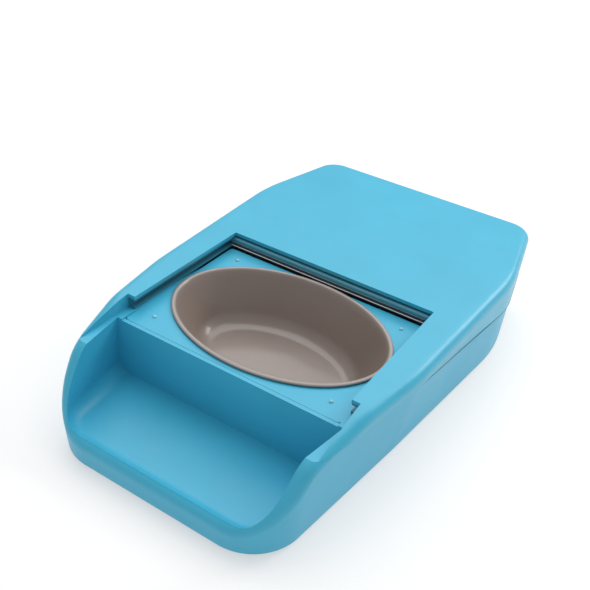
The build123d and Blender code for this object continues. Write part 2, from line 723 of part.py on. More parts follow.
# --------------------------------------------------- batteries and battery door
with BuildPart() as battery_cells:
    for row in (-1, 1):
        y = holder_mid_y + row * (cell_radius + cell_gap / 2)
        for start in (holder_x - cell_length, holder_x + 0.1):
            end = start + cell_length - cell_nub_length - 0.1
            along_x(y, cell_z, start, end, cell_radius)
            along_x(y, cell_z, end, end + cell_nub_length, cell_nub_radius)
finish(battery_cells, "battery_cells")

with BuildPart() as battery_contacts:
    for side in (-1, 1):
        wall_x = holder_x + side * holder_half_x
        face_x = wall_x - side * contact_thickness
        for row in (-1, 1):
            y = holder_mid_y + row * (cell_radius + cell_gap / 2)
            box_between(
                min(wall_x, face_x), max(wall_x, face_x), y - 8, y + 8, cell_z - 8, cell_z + 8,
            )
finish(battery_contacts, "battery_contacts")

with BuildPart() as battery_springs:
    spring_length = contact_room - contact_thickness - seat_gap
    for side in (-1, 1):
        face_x = holder_x + side * (holder_half_x - contact_thickness - spring_length / 2)
        for row in (-1, 1):
            y = holder_mid_y + row * (cell_radius + cell_gap / 2)
            with Locations((face_x, y, cell_z)):
                Cone(5.0, 3.0, spring_length, rotation=(0, -90 * side, 0))
finish(battery_springs, "battery_springs")

with BuildPart() as battery_door:
    box_between(
        holder_x - door_half_x, holder_x + door_half_x, door_axis_y,
        holder_mid_y + holder_half_y - door_gap, plate_z, plate_top_z,
    )
    along_x(door_axis_y, door_axis_z, holder_x - door_half_x, holder_x + door_half_x, plate_thickness / 2)
    along_x(
        door_axis_y, door_axis_z, holder_x - door_half_x - door_pin_length,
        holder_x + door_half_x + door_pin_length, door_pin_radius,
    )
    for x in (-30, 0, 30):
        y = holder_mid_y + holder_half_y - 4.0
        box_between(holder_x + x - 8, holder_x + x + 8, y - 1, y + 1, plate_z - 1, plate_z + 0.8, Mode.SUBTRACT)
finish(battery_door, "battery_door")

# ------------------------------------------------------------------ electronics
with BuildPart() as main_board:
    box_between(
        holder_x - board_half_width, holder_x + board_half_width,
        holder_mid_y - board_half_length, holder_mid_y + board_half_length,
        board_z, board_z + board_thickness,
    )
    for x in (holder_x - board_half_width + 4, holder_x + board_half_width - 4):
        for y in (holder_mid_y - board_half_length + 4, holder_mid_y + board_half_length - 4):
            upright(x, y, board_z - 1, board_z + 5, screw_radius + screw_gap, Mode.SUBTRACT)
finish(main_board, "main_board")

board_top_z = board_z + board_thickness
with BuildPart() as board_components:
    box_between(holder_x - 8, holder_x + 6, holder_mid_y - 7, holder_mid_y + 7, board_top_z, board_top_z + 1.6)
    box_between(holder_x + 16, holder_x + 24, holder_mid_y - 12, holder_mid_y + 4, board_top_z, board_top_z + 6)
    box_between(holder_x - 30, holder_x - 12, holder_mid_y + 13, holder_mid_y + 19, board_top_z, board_top_z + 7)
    upright(holder_x - 26, holder_mid_y - 6, board_top_z, board_top_z + 11, 4.0)
    upright(holder_x - 16, holder_mid_y - 10, board_top_z, board_top_z + 8, 3.0)
finish(board_components, "board_components")

with BuildPart() as board_screws:
    for x in (holder_x - board_half_width + 4, holder_x + board_half_width - 4):
        for y in (holder_mid_y - board_half_length + 4, holder_mid_y + board_half_length - 4):
            upright(x, y, holder_top_z - 0.8, board_top_z, screw_radius)
            upright(x, y, board_top_z, board_top_z + screw_head_height, screw_head_radius)
finish(board_screws, "board_screws")

with BuildPart() as gearbox_screws:
    for x in (gearbox_x - 9, gearbox_x + 9):
        upright(x, gearbox_y + 10, chassis_z, rim_z, screw_radius)
        upright(x, gearbox_y + 10, rim_z, rim_z + 1.0, screw_head_radius)
finish(gearbox_screws, "gearbox_screws")

with BuildPart() as reader_coil:
    with BuildSketch(Plane.XY.offset(floor_z - base_wall - coil_height)):
        with Locations((0, tray_y + coil_place)):
            RectangleRounded(coil_width, coil_length, 20.0)
            RectangleRounded(
                coil_width - 2 * coil_band, coil_length - 2 * coil_band, 14.0, mode=Mode.SUBTRACT,
            )
    extrude(amount=coil_height)
finish(reader_coil, "reader_coil")

with BuildPart() as end_switch:
    stop_y = lid_rear_y + slide_gap
    box_between(-70, -50, stop_y + 2, stop_y + 8, rim_z, rim_z + 6)
    along_y(-60, lid_z + 2, stop_y, stop_y + 3, 1.0)
finish(end_switch, "end_switch")

# -------------------------------------------------------------- rear push buttons
for side, name in ((-1, "learn_button"), (1, "open_button")):
    with BuildPart() as push_button:
        x = side * button_spacing / 2
        face_y = button_wall_y - slide_gap
        along_y(x, button_height, face_y - button_flange, rear_y - 0.1, button_radius)
        chamfer(push_button.edges().filter_by(GeomType.CIRCLE).sort_by(Axis.Y)[-1], length=0.6)
        along_y(x, button_height, face_y - button_flange, face_y, button_radius + 1.5)
        along_y(x, button_height, stem_end_y, face_y, 2.0)
    finish(push_button, name)

with BuildPart() as button_board:
    box_between(
        -button_spacing, button_spacing, button_board_y, button_board_y + board_thickness,
        button_height - 9, button_height + 9,
    )
    for x in (-board_post_x, board_post_x):
        along_y(
            x, button_height, button_board_y - 1, button_board_y + 5,
            screw_radius + screw_gap, Mode.SUBTRACT,
        )
finish(button_board, "button_board")

with BuildPart() as button_switches:
    switch_y = button_board_y + board_thickness
    for x in (-button_spacing / 2, button_spacing / 2):
        box_between(x - 3, x + 3, switch_y, switch_y + switch_depth, button_height - 3, button_height + 3)
        along_y(x, button_height, switch_y + switch_depth, switch_y + switch_depth + plunger_length, 1.5)
finish(button_switches, "button_switches")

with BuildPart() as button_board_screws:
    for x in (-board_post_x, board_post_x):
        along_y(x, button_height, button_board_y - screw_head_height, button_board_y, screw_head_radius)
        along_y(x, button_height, button_board_y, button_wall_y - 1.5, screw_radius)
finish(button_board_screws, "button_board_screws")

with BuildPart() as status_lens:
    along_y(0, button_height, button_board_y + board_thickness + 1.5, rear_y - 0.6, lens_radius)
    along_y(0, button_height, button_wall_y - 1.5, button_wall_y - slide_gap, lens_radius + 1.0)
finish(status_lens, "status_lens")
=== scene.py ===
"""Looks for a low pet feeder: moulded shells, lid, bowl, drive and electronics.

Everything is in metres, in the feeder's own axes: -Y towards the pet, +Z up,
Z = 0 on the floor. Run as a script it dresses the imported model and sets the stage.
"""

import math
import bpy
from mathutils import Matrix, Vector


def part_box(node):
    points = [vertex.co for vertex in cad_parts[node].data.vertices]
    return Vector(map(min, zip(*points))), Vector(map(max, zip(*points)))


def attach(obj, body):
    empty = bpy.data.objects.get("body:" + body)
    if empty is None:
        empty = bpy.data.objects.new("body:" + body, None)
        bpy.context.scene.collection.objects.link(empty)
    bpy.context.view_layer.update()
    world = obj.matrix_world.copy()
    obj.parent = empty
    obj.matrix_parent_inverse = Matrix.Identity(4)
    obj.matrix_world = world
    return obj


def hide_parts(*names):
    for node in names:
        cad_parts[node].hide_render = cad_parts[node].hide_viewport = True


bl_info = {
    "name": "Pet Feeder Looks",
    "version": (1, 0, 0),
    "blender": (4, 5, 0),
    "location": "3D View > Sidebar > Feeder",
    "description": "Finishes and fine pieces of a low feeder with a sliding lid",
    "category": "Object",
}

import bmesh
import bpy
import numpy as np
from mathutils import Matrix, Vector
from mathutils.geometry import convex_hull_2d

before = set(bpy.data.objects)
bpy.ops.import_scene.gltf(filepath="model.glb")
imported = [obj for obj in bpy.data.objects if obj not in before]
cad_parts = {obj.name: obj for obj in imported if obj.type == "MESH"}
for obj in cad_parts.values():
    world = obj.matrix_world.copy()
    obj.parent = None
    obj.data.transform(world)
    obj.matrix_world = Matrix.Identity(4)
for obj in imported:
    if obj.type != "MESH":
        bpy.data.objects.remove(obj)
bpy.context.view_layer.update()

MM = 0.001

# Lengths and levels of the solids, in millimetres.
LID_FRONT_ROUND = 1.5  # radius of the lid's front top edge
LID_HIGHLIGHT_TURN = math.radians(60.0)  # the upper painted highlight bead lies this far round that edge
PIP_PLACES = [(-71.5, -98.0), (71.5, -98.0), (71.5, -1.0), (-71.5, -1.0)]  # across and along
PIP_HEIGHT = 1.3  # the tray's moulded pips stand this high
PIP_CAP_RISE = 0.1  # the polished caps stand this much higher
BOWL_RIM_HEIGHT = 2.2
BOWL_NECK = 3.4  # the rim stands out this far from the body, over the tray
BOWL_FOOT = (62.0, 40.0)  # half sizes of the bowl's foot
BOWL_WALL = 0.9
BOWL_RIM_WIDTH = 3.4
BOWL_RIM_TUCK = 0.3  # the body's side starts this far below the rim
BOWL_CORNER = 10.0  # outer radius round the foot
BOWL_RIM_HIGHLIGHT_FADE = 1.5  # the rim's top turns paler over this height, a painted highlight
RIM_Z = 63.0  # level of the joint between base and cover beside the bowl
TRAY_Y = -112.0  # the tray's front edge
JOINT_BEND = 60.0  # the joint is level up to here, from the tray's front edge
JOINT_SLOPE = 0.125  # and falls by this much per millimetre behind it
SHADOW_LINE_START = -75.0  # the open joint is seen behind here, and only there the painted shadow line runs along it; ahead of it the shells touch
SHADOW_LINE_FADE = 90.0  # length over which the painted shadow line along the joint thins out
SHADOW_LINE_DEPTH = 0.2  # the painted shadow line stands this far proud
JOINT_TOLERANCE = 0.03  # corners this near the joint's level lie on it
STEP_Y = -101.0  # step in the cover's opening, where the rails begin to be covered
RAIL_SETBACK = 0.3  # the rails end this far behind the step
FLOOR_REACH = 6000.0  # half width of the floor
FLOOR_Z = -0.1  # just below the feet

LAMP_TARGET = Vector((0.0, 0.0, 0.04))  # the lamps point here, in metres
FINE_SHARE = 0.25  # weight of the fine noise beside the slow one in the colour drift
DRIFT_SPAN = 0.2  # the noise's reach either side of its middle, for the whole drift


def box_mm(node):
    """Lowest and highest corners of a CAD node, in millimetres."""
    low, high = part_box(node)
    return np.array(low) / MM, np.array(high) / MM


# -------------------------------------------------------------------- settings
def colour(name, description, default):
    """A linear RGB colour property."""
    return bpy.props.FloatVectorProperty(
        name=name, description=description, default=default,
        subtype="COLOR", size=3, min=0.0, max=1.0,
    )


def size(name, description, default):
    """A length property, in metres."""
    return bpy.props.FloatProperty(
        name=name, description=description, default=default, unit="LENGTH", precision=5,
    )


class FeederColours(bpy.types.PropertyGroup):
    """Colours of the moulded and trim pieces."""

    shell: colour("Shell", "Base and tray", (0.046, 0.420, 0.620))
    cover: colour("Cover", "Top cover", (0.046, 0.420, 0.610))
    lid: colour("Lid", "Sliding lid", (0.070, 0.330, 0.440))
    rails: colour("Rails", "Guide rails", (0.030, 0.180, 0.260))
    bowl: colour("Bowl", "Drop-in bowl", (0.240, 0.190, 0.165))
    # Painted highlight: the top of the bowl's rim is painted paler, standing in for the light falling on it.
    bowl_rim_highlight: colour("Bowl rim", "Paler top of the bowl's rim", (0.310, 0.270, 0.252))
    seal: colour("Seal", "Wiper strip on the lid", (0.012, 0.014, 0.018))
    # Painted shadow: a dark line along the joint stands in for the shade under the cover's overhang.
    seam: colour("Seam", "Dark joint between the base and the cover", (0.018, 0.110, 0.160))
    # Painted highlight: pale beads along the lid's front edges stand in for the glints there.
    lid_highlight: colour("Lid beads", "Thin beads along the lid's front", (0.300, 0.480, 0.560))
    # Partly painted highlight: the pips' colour is paler than the tray's, standing in for their glints;
    # their low roughness is real gloss.
    pip: colour("Pip", "Polished pips on the tray", (0.300, 0.620, 0.720))
    # Painted highlight: a pale line along the wiper's tip stands in for the glint on its edge.
    lip: colour("Lip", "Pale lip along the wiper's tip", (0.80, 0.82, 0.84))
    underside: colour("Underside", "Bottom plate and battery door", (0.100, 0.120, 0.135))
    floor: colour("Floor", "Ground under the feeder", (0.48, 0.48, 0.48))


class FeederSizes(bpy.types.PropertyGroup):
    """Sizes of the fine pieces."""

    # Radius of the wiper's painted highlight line.
    wiper_glint_radius: size("Wiper lip", "Radius of the wiper painted glint along the wiper's tip", 0.32 * MM)
    # Radius of the lid's painted highlight beads.
    highlight_bead_radius: size("Lid bead", "Radius of the pale beads along the lid's front", 0.16 * MM)
    # Height of the painted shadow line along the joint.
    shadow_line_height: size("Seam", "Height of the dark joint between the shells", 0.50 * MM)
    pip_radius: size("Pip", "Radius of the tray's polished pips", 1.5 * MM)


class StageSettings(bpy.types.PropertyGroup):
    """Camera and light."""

    azimuth: bpy.props.FloatProperty(
        name="Azimuth", description="Camera's turn to the right of the front",
        default=math.radians(29.918), subtype="ANGLE",
    )
    elevation: bpy.props.FloatProperty(
        name="Elevation", description="Camera's height angle",
        default=math.radians(33.776), subtype="ANGLE",
    )
    roll: bpy.props.FloatProperty(
        name="Roll", description="Camera's lean", default=math.radians(5.353), subtype="ANGLE",
    )
    lens: bpy.props.FloatProperty(
        name="Lens", description="Focal length on a 36 mm sensor, in millimetres", default=50.28,
    )
    place: bpy.props.FloatVectorProperty(
        name="Place", description="Where the camera stands", size=3, subtype="TRANSLATION",
        default=(0.24121, -0.45016, 0.39962),
    )
    key_power: bpy.props.FloatProperty(name="Key", description="Power of the key light", default=20.0)
    fill_power: bpy.props.FloatProperty(name="Fill", description="Power of the fill light", default=0.3)
    edge_power: bpy.props.FloatProperty(
        name="Edge", description="Power of the light that lines the shoulder", default=7.0,
    )
    floor_glow: bpy.props.FloatProperty(
        name="Floor glow", description="Light given off by the white floor", default=0.50,
    )
    sky: bpy.props.FloatProperty(name="Sky", description="Strength of the room's light", default=0.50)


# ---------------------------------------------------------------- node groups
def new_group(name, inputs, outputs):
    """Empty shader group with named sockets, and its two end nodes."""
    group = bpy.data.node_groups.new(name, "ShaderNodeTree")
    for label, kind, default in inputs:
        socket = group.interface.new_socket(label, in_out="INPUT", socket_type=kind)
        socket.default_value = default
    for label, kind in outputs:
        group.interface.new_socket(label, in_out="OUTPUT", socket_type=kind)
    start = group.nodes.new("NodeGroupInput")
    end = group.nodes.new("NodeGroupOutput")
    return group, start, end


def noise(tree, scale_socket=None, scale=100.0, detail=3.0, roughness=0.5):
    """Noise on the piece's own coordinates."""
    where = tree.nodes.new("ShaderNodeTexCoord")
    node = tree.nodes.new("ShaderNodeTexNoise")
    node.inputs["Scale"].default_value = scale
    node.inputs["Detail"].default_value = detail
    node.inputs["Roughness"].default_value = roughness
    tree.links.new(where.outputs["Object"], node.inputs["Vector"])
    if scale_socket:
        tree.links.new(scale_socket, node.inputs["Scale"])
    return node


def ramp(tree, source, low, high, out_low, out_high):
    """Straight remap of a value from one span to another."""
    node = tree.nodes.new("ShaderNodeMapRange")
    node.inputs["From Min"].default_value = low
    node.inputs["From Max"].default_value = high
    node.inputs["To Min"].default_value = out_low
    node.inputs["To Max"].default_value = out_high
    tree.links.new(source, node.inputs["Value"])
    return node


def grain_group():
    """Mould grain: fine noise as a shallow bump, and a roughness that follows a broader noise."""
    group, start, end = new_group(
        "Mould Grain",
        [("Scale", "NodeSocketFloat", 1800.0), ("Depth", "NodeSocketFloat", 0.05),
         ("Roughness", "NodeSocketFloat", 0.4), ("Spread", "NodeSocketFloat", 0.05)],
        [("Normal", "NodeSocketVector"), ("Roughness", "NodeSocketFloat")],
    )
    fine = noise(group, start.outputs["Scale"], detail=2.0)
    broad = noise(group, scale=24.0, detail=4.0)
    bump = group.nodes.new("ShaderNodeBump")
    bump.inputs["Distance"].default_value = 0.0002
    group.links.new(fine.outputs["Fac"], bump.inputs["Height"])
    group.links.new(start.outputs["Depth"], bump.inputs["Strength"])
    offset = ramp(group, broad.outputs["Fac"], 0.0, 1.0, -2.5, 2.5)
    scaled = group.nodes.new("ShaderNodeMath")
    scaled.operation = "MULTIPLY_ADD"
    group.links.new(offset.outputs["Result"], scaled.inputs[0])
    group.links.new(start.outputs["Spread"], scaled.inputs[1])
    group.links.new(start.outputs["Roughness"], scaled.inputs[2])
    group.links.new(bump.outputs["Normal"], end.inputs["Normal"])
    group.links.new(scaled.outputs["Value"], end.inputs["Roughness"])
    return group


def drift_group():
    """Colour drift: the base colour moves a little towards a lighter and a darker one in slow patches."""
    group, start, end = new_group(
        "Colour Drift",
        [("Colour", "NodeSocketColor", (0.5, 0.5, 0.5, 1.0)), ("Scale", "NodeSocketFloat", 16.0),
         ("Amount", "NodeSocketFloat", 0.06)],
        [("Colour", "NodeSocketColor")],
    )
    slow = noise(group, start.outputs["Scale"], detail=3.0, roughness=0.6)
    fine = noise(group, scale=420.0, detail=2.0)
    total = group.nodes.new("ShaderNodeMath")
    total.operation = "MULTIPLY_ADD"
    total.inputs[1].default_value = FINE_SHARE
    group.links.new(fine.outputs["Fac"], total.inputs[0])
    group.links.new(slow.outputs["Fac"], total.inputs[2])
    value = group.nodes.new("ShaderNodeMath")
    value.operation = "MULTIPLY_ADD"
    middle = 0.5 * (1 + FINE_SHARE)
    centred = ramp(group, total.outputs["Value"], middle - DRIFT_SPAN, middle + DRIFT_SPAN, -1.0, 1.0)
    group.links.new(centred.outputs["Result"], value.inputs[0])
    group.links.new(start.outputs["Amount"], value.inputs[1])
    value.inputs[2].default_value = 1.0
    shade = group.nodes.new("ShaderNodeHueSaturation")
    group.links.new(start.outputs["Colour"], shade.inputs["Color"])
    group.links.new(value.outputs["Value"], shade.inputs["Value"])
    group.links.new(shade.outputs["Color"], end.inputs["Colour"])
    return group


GROUPS = {}


def shared(name):
    """The shared group of that name, built once."""
    makers = {"Mould Grain": grain_group, "Colour Drift": drift_group}
    if name not in GROUPS:
        GROUPS[name] = makers[name]()
    return GROUPS[name]


def finish_material(
    name, rgb, roughness=0.4, grain=1800.0, depth=0.08, spread=0.05, drift=22.0, amount=0.03,
    metallic=0.0, coat=0.0, coat_roughness=0.1, transmission=0.0, glow=0.0,
):
    """Material whose colour drifts slowly and whose surface has a shallow grain."""
    material = bpy.data.materials.new(name)
    material.use_nodes = True
    tree = material.node_tree
    shader = tree.nodes["Principled BSDF"]
    shader.inputs["Metallic"].default_value = metallic
    shader.inputs["Coat Weight"].default_value = coat
    shader.inputs["Coat Roughness"].default_value = coat_roughness
    shader.inputs["Transmission Weight"].default_value = transmission
    if glow:
        shader.inputs["Emission Color"].default_value = (1.0, 1.0, 1.0, 1.0)
        shader.inputs["Emission Strength"].default_value = glow
    tint = tree.nodes.new("ShaderNodeGroup")
    tint.node_tree = shared("Colour Drift")
    tint.inputs["Colour"].default_value = (*rgb, 1.0)
    tint.inputs["Scale"].default_value = drift
    tint.inputs["Amount"].default_value = amount
    skin = tree.nodes.new("ShaderNodeGroup")
    skin.node_tree = shared("Mould Grain")
    skin.inputs["Scale"].default_value = grain
    skin.inputs["Depth"].default_value = depth
    skin.inputs["Roughness"].default_value = roughness
    skin.inputs["Spread"].default_value = spread
    tree.links.new(tint.outputs["Colour"], shader.inputs["Base Color"])
    tree.links.new(skin.outputs["Normal"], shader.inputs["Normal"])
    tree.links.new(skin.outputs["Roughness"], shader.inputs["Roughness"])
    return material


def blend_upwards(material, rgb, low, high):
    """Turn a material's colour into another one between two levels, given in millimetres."""
    tree = material.node_tree
    base = tree.nodes["Principled BSDF"].inputs["Base Color"]
    where = tree.nodes.new("ShaderNodeTexCoord")
    parts = tree.nodes.new("ShaderNodeSeparateXYZ")
    tree.links.new(where.outputs["Object"], parts.inputs["Vector"])
    share = ramp(tree, parts.outputs["Z"], low * MM, high * MM, 0.0, 1.0)
    mix = tree.nodes.new("ShaderNodeMixRGB")
    mix.inputs["Color2"].default_value = (*rgb, 1.0)
    tree.links.new(share.outputs["Result"], mix.inputs["Fac"])
    tree.links.new(base.links[0].from_socket, mix.inputs["Color1"])
    tree.links.new(mix.outputs["Color"], base)


def dress(nodes, material):
    """Put one material on every slot of the named CAD nodes."""
    for name in nodes:
        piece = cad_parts[name]
        if not piece.material_slots:
            piece.data.materials.append(material)
        for slot in piece.material_slots:
            slot.material = material


# -------------------------------------------------------------------- surfaces
def grid_mesh(name, points, close_u=False, cap=False, smooth=True):
    """Mesh from a (rows, columns, 3) array in millimetres, one quad between each four neighbours.

    close_u joins the last column to the first, and cap closes the first and the last row
    with one face each.
    """
    rows, columns = points.shape[:2]
    number = np.arange(rows * columns).reshape(rows, columns)
    if close_u:
        number = np.concatenate([number, number[:, :1]], axis=1)
    quads = np.stack(
        [number[:-1, :-1], number[:-1, 1:], number[1:, 1:], number[1:, :-1]], axis=-1
    ).reshape(-1, 4).tolist()
    if cap:
        first = list(range(columns))
        quads += [first[::-1], [(rows - 1) * columns + n for n in first]]
    mesh = bpy.data.meshes.new(name)
    mesh.from_pydata((points.reshape(-1, 3) * MM).tolist(), [], quads)
    mesh.update()
    if smooth:
        mesh.shade_smooth()
    return mesh


def joint_height(y):
    """Level of the joint between the shells: level beside the bowl, then falling rearwards."""
    return RIM_Z - JOINT_SLOPE * np.maximum(0.0, y - TRAY_Y - JOINT_BEND)


def joint_path(step=1.5):
    """Outer line of the joint, round the back from one side to the other, in millimetres.

    The cover's corners that lie on the joint are gathered, their outermost ring is kept, and
    points are set along it at even steps of its length. Those ahead of SHADOW_LINE_START are left off.
    """
    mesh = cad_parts["top_cover"].data
    corners = np.empty(len(mesh.vertices) * 3)
    mesh.vertices.foreach_get("co", corners)
    corners = corners.reshape(-1, 3) / MM
    corners = corners[np.abs(corners[:, 2] - joint_height(corners[:, 1])) < JOINT_TOLERANCE]
    ring = corners[convex_hull_2d([Vector(xy) for xy in corners[:, :2].tolist()])]
    following = np.roll(ring, -1, axis=0)
    gap = np.linalg.norm(following[:, :2] - ring[:, :2], axis=1)
    crosses_front = (ring[:, 0] * following[:, 0] < 0) & (ring[:, 1] < TRAY_Y)
    first = int(np.argmax(np.where(crosses_front, gap, 0.0))) + 1
    ring = np.roll(ring, -first, axis=0)
    length = np.concatenate([[0.0], np.cumsum(np.linalg.norm(np.diff(ring[:, :2], axis=0), axis=1))])
    even = np.linspace(0.0, length[-1], int(length[-1] / step))
    x, y = np.interp(even, length, ring[:, 0]), np.interp(even, length, ring[:, 1])
    seen = y > SHADOW_LINE_START
    return np.stack([x, y, joint_height(y)], axis=-1)[seen]


def shadow_line_mesh(name, path, height, depth, sides=8):
    """Thin strip along a path: at each point an oval of that height and depth stands across the path.

    The oval's centre is half its height above the path, and it thins out over SHADOW_LINE_FADE at both ends.
    """
    along = np.concatenate([[0.0], np.cumsum(np.linalg.norm(np.diff(path, axis=0), axis=1))])
    tangent = np.gradient(path, axis=0)
    outward = np.stack([tangent[:, 1], -tangent[:, 0], np.zeros(len(path))], axis=-1)
    outward /= np.linalg.norm(outward, axis=1)[:, None]
    if (outward * path).sum() < 0:
        outward = -outward
        path, outward = path[::-1], outward[::-1]
    angle = np.linspace(0, 2 * math.pi, sides, endpoint=False)
    share = np.clip(np.minimum(along, along[-1] - along) / SHADOW_LINE_FADE, 0.0, 1.0) * 0.95 + 0.05
    points = path[:, None, :] + (outward * share[:, None])[:, None, :] * depth * np.cos(angle)[None, :, None]
    points[..., 2] += height / 2 * (1 + share[:, None] * np.sin(angle))
    return grid_mesh(name, points, close_u=True, cap=True)


def dome_points(x, y, z, radius, height, rings=6, sides=24):
    """Low dome: at the share t of a quarter turn it is radius * cos(t) wide and height * sin(t) up."""
    turn = np.linspace(0.0, 0.97 * math.pi / 2, rings)
    angle = np.linspace(0, 2 * math.pi, sides, endpoint=False)
    points = np.empty((rings, sides, 3))
    points[..., 0] = x + radius * np.cos(turn)[:, None] * np.cos(angle)
    points[..., 1] = y + radius * np.cos(turn)[:, None] * np.sin(angle)
    points[..., 2] = z + height * np.sin(turn)[:, None]
    return points


def bowl_mesh(name, low, high, sides=192):
    """Oval bowl with a rolled rim, as one closed skin in millimetres.

    A profile of (drawn in, up, share of taper) rows runs from the middle of the underside up the
    outside, over the rim and down the inside to the middle of the floor. Each row is carried
    round x = (half width - in across) * cos(a), y = (half length - in along) * sin(a), where the
    in across and along are the row's own plus its share of the body's taper each way.
    """
    half = (high[:2] - low[:2]) / 2
    centre = (high[:2] + low[:2]) / 2
    foot, top = low[2], high[2]
    under = top - BOWL_RIM_HEIGHT
    taper = half - BOWL_NECK - np.array(BOWL_FOOT)
    roll = BOWL_RIM_HEIGHT / 2

    def body(offset, floor, corner):
        """Side of the body from the rim's underside down to a floor, with a rounded foot."""
        sweep = np.radians(np.linspace(0, 90, 12))
        side = np.linspace(under - BOWL_RIM_TUCK, floor + corner, 10)
        level = np.concatenate([side, floor + corner * (1 - np.sin(sweep[1:]))])
        inward = np.concatenate([np.full(len(side), offset), offset + corner * (1 - np.cos(sweep[1:]))])
        share = np.clip((under - level) / (under - foot), 0.0, 1.0)
        return np.stack([inward, level, share], axis=-1)

    outside = body(BOWL_NECK, foot, BOWL_CORNER)[::-1]
    inside = body(BOWL_NECK + BOWL_WALL, foot + BOWL_WALL, BOWL_CORNER - BOWL_WALL)
    turn = np.radians(np.linspace(-90, 150, 20))
    rim = np.stack([
        BOWL_RIM_WIDTH / 2 * (1 - np.cos(turn)), top - roll + roll * np.sin(turn), 0 * turn,
    ], axis=-1)
    profile = np.concatenate([outside, rim, inside])
    across = half[:, None] - profile[:, 0] - taper[:, None] * profile[:, 2]
    angle = np.linspace(0, 2 * math.pi, sides, endpoint=False)
    points = np.empty((len(profile), sides, 3))
    points[..., 0] = centre[0] + across[0][:, None] * np.cos(angle)
    points[..., 1] = centre[1] + across[1][:, None] * np.sin(angle)
    points[..., 2] = profile[:, 1][:, None]
    return grid_mesh(name, points, close_u=True, cap=True)


def trimmed_copy(name, node, front_y):
    """Copy of a CAD node's mesh, merged, and cut off square in front of a level of y in millimetres."""
    made = bmesh.new()
    made.from_mesh(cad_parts[node].data)
    bmesh.ops.remove_doubles(made, verts=made.verts, dist=1e-6)
    cut = bmesh.ops.bisect_plane(
        made, geom=made.verts[:] + made.edges[:] + made.faces[:], dist=1e-7,
        plane_co=(0.0, front_y * MM, 0.0), plane_no=(0.0, -1.0, 0.0), clear_outer=True,
    )
    rim = [item for item in cut["geom_cut"] if isinstance(item, bmesh.types.BMEdge)]
    bmesh.ops.holes_fill(made, edges=rim, sides=0)
    bmesh.ops.recalc_face_normals(made, faces=made.faces)
    mesh = bpy.data.meshes.new(name)
    made.to_mesh(mesh)
    made.free()
    mesh.shade_flat()
    return mesh


def joined(name, meshes):
    """One mesh of several."""
    whole = bmesh.new()
    for mesh in meshes:
        whole.from_mesh(mesh)
    made = bpy.data.meshes.new(name)
    whole.to_mesh(made)
    whole.free()
    made.shade_smooth()
    return made


def piece(name, mesh, material, body):
    """Object at the origin with one material, riding on a body."""
    made = bpy.data.objects.new(name, mesh)
    bpy.context.scene.collection.objects.link(made)
    mesh.materials.append(material)
    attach(made, body)
    return made


def bead_mesh(name, start, end, radius, sides=16, end_rings=6):
    """Straight round bead with half-ball ends, along X, in millimetres.

    A ring at the share t of an end's quarter turn stands radius * cos(t) in from the tip and is
    radius * sin(t) round: centre + ring radius * (cos a across, sin a up).
    """
    turn = np.linspace(0.02, math.pi / 2, end_rings)
    along = np.concatenate([
        start[0] + radius * (1 - np.cos(turn)), end[0] - radius * (1 - np.cos(turn[::-1])),
    ])
    wide = radius * np.concatenate([np.sin(turn), np.sin(turn[::-1])])
    angle = np.linspace(0, 2 * math.pi, sides, endpoint=False)
    points = np.empty((len(along), sides, 3))
    points[..., 0] = along[:, None]
    points[..., 1] = start[1] + wide[:, None] * np.cos(angle)
    points[..., 2] = start[2] + wide[:, None] * np.sin(angle)
    return grid_mesh(name, points, close_u=True, cap=True)


# ------------------------------------------------------------------- operators
class FEEDER_OT_stage(bpy.types.Operator):
    """Floor, soft lights and the camera at the photographed angle"""

    bl_idname = "feeder.stage"
    bl_label = "Stage"

    def execute(self, context):
        scene = context.scene
        settings = scene.feeder_stage
        mesh = grid_mesh("floor", np.array([
            [[x, y, FLOOR_Z] for x in (-FLOOR_REACH, FLOOR_REACH)] for y in (-FLOOR_REACH, FLOOR_REACH)
        ]), smooth=False)
        floor = bpy.data.objects.new("floor", mesh)
        scene.collection.objects.link(floor)
        mesh.materials.append(finish_material(
            "floor paint", scene.feeder_colours.floor, roughness=0.8, grain=300.0,
            depth=0.02, spread=0.02, drift=2.0, amount=0.005, glow=settings.floor_glow,
        ))

        world = bpy.data.worlds.new("room")
        world.use_nodes = True
        back = world.node_tree.nodes["Background"]
        back.inputs["Color"].default_value = (1.0, 1.0, 1.0, 1.0)
        back.inputs["Strength"].default_value = settings.sky
        scene.world = world
        lamps = [
            ("key", (-0.30, 0.60, 1.45), 1.8, settings.key_power),
            ("fill", (0.9, -0.9, 0.9), 1.4, settings.fill_power),
            ("edge", (0.60, 1.15, 0.85), 0.6, settings.edge_power),
        ]
        for name, place, width, power in lamps:
            data = bpy.data.lights.new(name, "AREA")
            data.size = width
            data.energy = power
            lamp = bpy.data.objects.new(name, data)
            lamp.location = place
            aim = LAMP_TARGET - Vector(place)
            lamp.rotation_euler = aim.to_track_quat("-Z", "Y").to_euler()
            scene.collection.objects.link(lamp)

        turn, tilt, lean = settings.azimuth, settings.elevation, settings.roll
        ahead = Vector((
            -math.sin(turn) * math.cos(tilt), math.cos(turn) * math.cos(tilt), -math.sin(tilt),
        ))
        right = Vector((math.cos(turn), math.sin(turn), 0.0))
        up = right.cross(ahead)
        right, up = (
            right * math.cos(lean) + up * math.sin(lean),
            up * math.cos(lean) - right * math.sin(lean),
        )
        data = bpy.data.cameras.new("camera")
        data.sensor_width = 36.0
        data.lens = settings.lens
        data.clip_end = 50.0
        camera = bpy.data.objects.new("camera", data)
        rotation = Matrix((right, up, -ahead)).transposed().to_4x4()
        camera.matrix_world = Matrix.Translation(Vector(settings.place)) @ rotation
        scene.collection.objects.link(camera)
        scene.camera = camera
        scene.view_settings.view_transform = "Standard"
        return {"FINISHED"}


